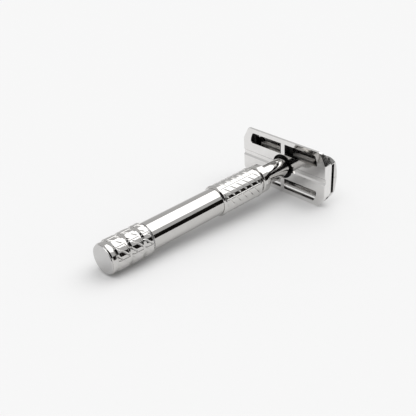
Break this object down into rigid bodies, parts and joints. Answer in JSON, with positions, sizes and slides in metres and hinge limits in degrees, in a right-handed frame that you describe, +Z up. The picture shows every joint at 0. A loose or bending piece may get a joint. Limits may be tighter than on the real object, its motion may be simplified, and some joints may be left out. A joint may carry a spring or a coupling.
{
  "type": "safety razor",
  "caption": "Twist-to-open double-edge safety razor with butterfly doors, a knurled knob and a knurled grip, lying on its side with no blade in it.",
  "frame": {"origin": "on the table, under the middle of the lying razor", "axes": "+X along the head's length, +Y from the knob towards the head, +Z up from the table; the handle rises 3.8 degrees towards the head"},
  "size_m": [0.042, 0.0949, 0.023],
  "materials": {
    "polished_chrome": "bright chrome plating over brass and steel",
    "knurled_chrome": "bright chrome plating over cut knurling",
    "satin_chrome": "chrome plating, finely brushed",
    "nickel_plate": "nickel plating over pressed steel",
    "plain_steel": "plain turned or sprung steel",
    "blackened_steel": "steel with a black oxide finish",
    "brass": "turned brass"
  },
  "bodies": {
    "handle": {"handle_tube": "polished_chrome", "grip_sleeve": "knurled_chrome", "neck_collar": "polished_chrome", "neck_tube": "polished_chrome", "neck_bush": "brass", "head_flange": "blackened_steel", "guard_plate": "satin_chrome", "knob_bush": "plain_steel", "thrust_washer": "plain_steel"},
    "knob": {"knob_end_cap": "polished_chrome", "knob_shell": "knurled_chrome", "drive_screw": "brass", "retaining_clip": "plain_steel"},
    "carriage": {"drive_nut": "brass", "drive_rod": "plain_steel", "blade_bed": "nickel_plate", "bed_lugs": "blackened_steel", "blade_posts": "nickel_plate", "bed_screw": "nickel_plate", "end_bracket_left": "blackened_steel", "end_bracket_right": "blackened_steel", "hinge_pins": "plain_steel"},
    "door_upper": {"door_upper": "polished_chrome"},
    "door_lower": {"door_lower": "polished_chrome"}
  },
  "joints": [
    {"name": "knob_turn", "type": "hinge", "parent": "handle", "child": "knob", "pos_m": [0, -0.03813, 0.00625], "axis": [0, -0.9978, -0.0663], "range_deg": [0, 540]},
    {"name": "carriage_lift", "type": "slide", "parent": "handle", "child": "carriage", "axis": [0, 0.9978, 0.0663], "range_m": [0, 0.0048]},
    {"name": "door_upper_swing", "type": "hinge", "parent": "carriage", "child": "door_upper", "pos_m": [0, 0.04196, 0.01959], "axis": [1, 0, 0], "range_deg": [0, 85]},
    {"name": "door_lower_swing", "type": "hinge", "parent": "carriage", "child": "door_lower", "pos_m": [0, 0.04302, 0.00363], "axis": [-1, 0, 0], "range_deg": [0, 85]}
  ],
  "couplings": [
    {"joint": "knob_turn", "follows": "carriage_lift", "rad_per_m": 1963.5},
    {"joint": "door_upper_swing", "follows": "carriage_lift", "rad_per_m": 309.07},
    {"joint": "door_lower_swing", "follows": "carriage_lift", "rad_per_m": 309.07}
  ]
}
